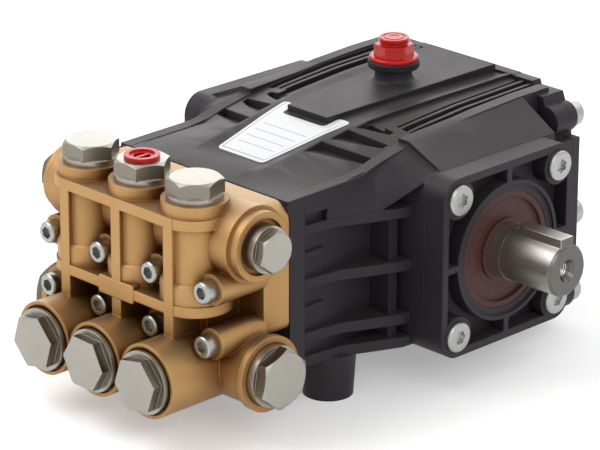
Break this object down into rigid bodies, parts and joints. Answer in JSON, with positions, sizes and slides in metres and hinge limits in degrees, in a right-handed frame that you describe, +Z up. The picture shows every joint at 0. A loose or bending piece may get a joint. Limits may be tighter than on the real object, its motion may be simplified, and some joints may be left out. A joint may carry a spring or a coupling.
{
  "type": "high-pressure pump",
  "caption": "Triplex high-pressure plunger pump: brass valve manifold on a finned black crankcase, keyed drive shaft at one side, feet below.",
  "frame": {"origin": "middle of the four tapped foot holes, on the plane that the feet stand on", "axes": "+X along the shaft towards its keyed end, -Y towards the valve manifold, +Z up"},
  "size_m": [0.1999, 0.2509, 0.137],
  "materials": {
    "powder_coated_case": "satin powder coat",
    "cast_brass": "satin blasted casting",
    "nickel_plate": "satin nickel plate",
    "ground_steel": "ground",
    "seal_rubber": "moulded matt",
    "gasket_paper": "matt",
    "red_plastic": "gloss moulded",
    "sight_glass": "clear, oil behind"
  },
  "bodies": {
    "pump": {"crankcase": "powder_coated_case", "rear_cover": "powder_coated_case", "bearing_cover_right": "powder_coated_case", "bearing_cover_left": "powder_coated_case", "rear_gasket": "gasket_paper", "manifold_gasket": "gasket_paper", "shaft_seal": "seal_rubber", "manifold": "cast_brass", "top_valve_cap_left": "nickel_plate", "top_valve_cap_middle": "nickel_plate", "top_valve_cap_right": "nickel_plate", "front_valve_cap_left": "nickel_plate", "front_valve_cap_middle": "nickel_plate", "front_valve_cap_right": "nickel_plate", "outlet_plug_right": "nickel_plate", "outlet_plug_left": "nickel_plate", "inlet_plug_right": "nickel_plate", "inlet_plug_left": "nickel_plate", "gauge_port_plug": "red_plastic", "oil_filler_cap": "red_plastic", "sight_glass": "sight_glass", "sight_glass_ring": "nickel_plate", "drain_plug": "nickel_plate"},
    "shaft": {"crankshaft": "ground_steel", "shaft_key": "ground_steel"}
  },
  "joints": [
    {"name": "shaft_turn", "type": "hinge", "parent": "pump", "child": "shaft", "pos_m": [0, 0.018, 0.06], "axis": [1, 0, 0], "continuous": true}
  ]
}
